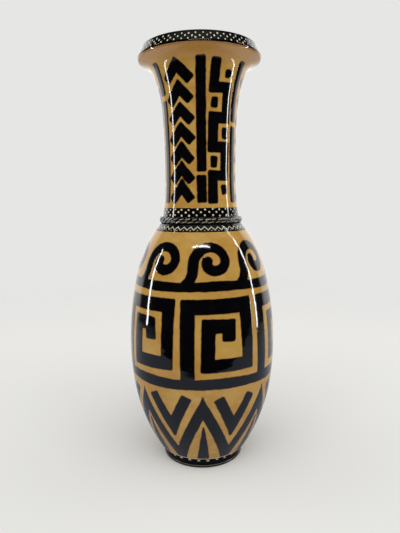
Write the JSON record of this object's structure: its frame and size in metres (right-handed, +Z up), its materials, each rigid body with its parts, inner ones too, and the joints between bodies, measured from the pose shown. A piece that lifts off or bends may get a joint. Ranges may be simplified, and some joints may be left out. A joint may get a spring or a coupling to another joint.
{
  "type": "tall ceramic vase",
  "caption": "Tall wheel-thrown ceramic vase with a flaring bevelled mouth, slim neck, twisted cordon, ovoid body and ring foot, for standing display.",
  "frame": {"origin": "centre of the foot's resting face, on the axis of the vase", "axes": "+Z up along the axis of the vase, from foot to mouth; -Y faces the viewer of the picture"},
  "size_m": [0.1814, 0.1814, 0.5],
  "materials": {
    "ochre_glaze": "glossy honey-ochre glaze with hand-painted black strokes",
    "black_glaze": "glossy black glaze with small pale dots and dashes"
  },
  "bodies": {
    "root": {"foot_ring": "black_glaze", "lower_body": "ochre_glaze", "upper_body": "ochre_glaze", "rope_cordon": "black_glaze", "neck": "ochre_glaze", "mouth_lip": "ochre_glaze"}
  },
  "joints": []
}
